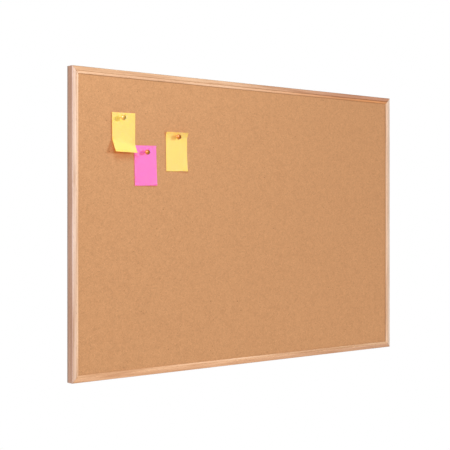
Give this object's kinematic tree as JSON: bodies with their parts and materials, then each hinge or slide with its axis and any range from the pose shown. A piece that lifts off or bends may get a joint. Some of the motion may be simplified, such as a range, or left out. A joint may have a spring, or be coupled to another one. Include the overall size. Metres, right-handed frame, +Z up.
{
  "type": "pin board",
  "caption": "Wall-hung cork pin board in a slim mitred wooden frame, with paper notes on ball-headed pins, and ring hangers and soft wall pads at the back.",
  "frame": {"origin": "on the wall plane, behind the middle of the board", "axes": "+X to the right along the board seen from the front, +Y into the wall, +Z up; the face looks along -Y"},
  "size_m": [0.6, 0.0249, 0.4],
  "materials": {
    "frame_wood": "pale oak, sanded and lacquered",
    "zinc_steel": "zinc plated",
    "cork": "pressed fine-grain cork, bare",
    "softboard": "soft fibreboard, bare",
    "backing_board": "thin hard fibreboard, bare",
    "yellow_paper": "uncoated note paper",
    "pink_paper": "uncoated note paper",
    "yellow_plastic": "moulded, glossy",
    "orange_plastic": "moulded, glossy",
    "needle_steel": "polished wire",
    "bumper_rubber": "matt"
  },
  "bodies": {
    "board": {"frame_rail_top": "frame_wood", "frame_rail_bottom": "frame_wood", "frame_stile_left": "frame_wood", "frame_stile_right": "frame_wood", "corner_staple_top_left": "zinc_steel", "corner_staple_top_right": "zinc_steel", "corner_staple_bottom_left": "zinc_steel", "corner_staple_bottom_right": "zinc_steel", "cork_sheet": "cork", "softboard_core": "softboard", "backing_sheet": "backing_board", "hanger_strap_left": "zinc_steel", "hanger_strap_right": "zinc_steel", "hanger_screw_left": "zinc_steel", "hanger_screw_right": "zinc_steel", "wall_bumper_left": "bumper_rubber", "wall_bumper_right": "bumper_rubber"},
    "pin_left": {"pin_head_left": "yellow_plastic", "pin_needle_left": "needle_steel"},
    "pin_middle": {"pin_head_middle": "orange_plastic", "pin_needle_middle": "needle_steel"},
    "pin_right": {"pin_head_right": "orange_plastic", "pin_needle_right": "needle_steel"},
    "note_left": {"note_yellow_left": "yellow_paper"},
    "note_middle": {"note_pink_middle": "pink_paper"},
    "note_right": {"note_yellow_right": "yellow_paper"},
    "ring_left": {"hanger_ring_left": "zinc_steel"},
    "ring_right": {"hanger_ring_right": "zinc_steel"}
  },
  "joints": [
    {"name": "pin_left_pull", "type": "slide", "parent": "board", "child": "pin_left", "axis": [0, -1, 0], "range_m": [0, 0.01]},
    {"name": "pin_middle_pull", "type": "slide", "parent": "board", "child": "pin_middle", "axis": [0, -1, 0], "range_m": [0, 0.01]},
    {"name": "pin_right_pull", "type": "slide", "parent": "board", "child": "pin_right", "axis": [0, -1, 0], "range_m": [0, 0.01]},
    {"name": "note_left_turn", "type": "hinge", "parent": "board", "child": "note_left", "pos_m": [-0.2257, -0.0146, 0.1382], "axis": [0, -1, 0], "range_deg": [-45, 15]},
    {"name": "note_middle_turn", "type": "hinge", "parent": "board", "child": "note_middle", "pos_m": [-0.1863, -0.0146, 0.0948], "axis": [0, -1, 0], "range_deg": [-8, 12]},
    {"name": "note_right_turn", "type": "hinge", "parent": "board", "child": "note_right", "pos_m": [-0.1341, -0.0146, 0.1174], "axis": [0, -1, 0], "range_deg": [-8, 45]},
    {"name": "ring_left_swing", "type": "hinge", "parent": "board", "child": "ring_left", "pos_m": [-0.29455, -0.00235, 0.14], "axis": [-1, 0, 0], "range_deg": [0, 165]},
    {"name": "ring_right_swing", "type": "hinge", "parent": "board", "child": "ring_right", "pos_m": [0.29455, -0.00235, 0.14], "axis": [-1, 0, 0], "range_deg": [0, 165]}
  ]
}
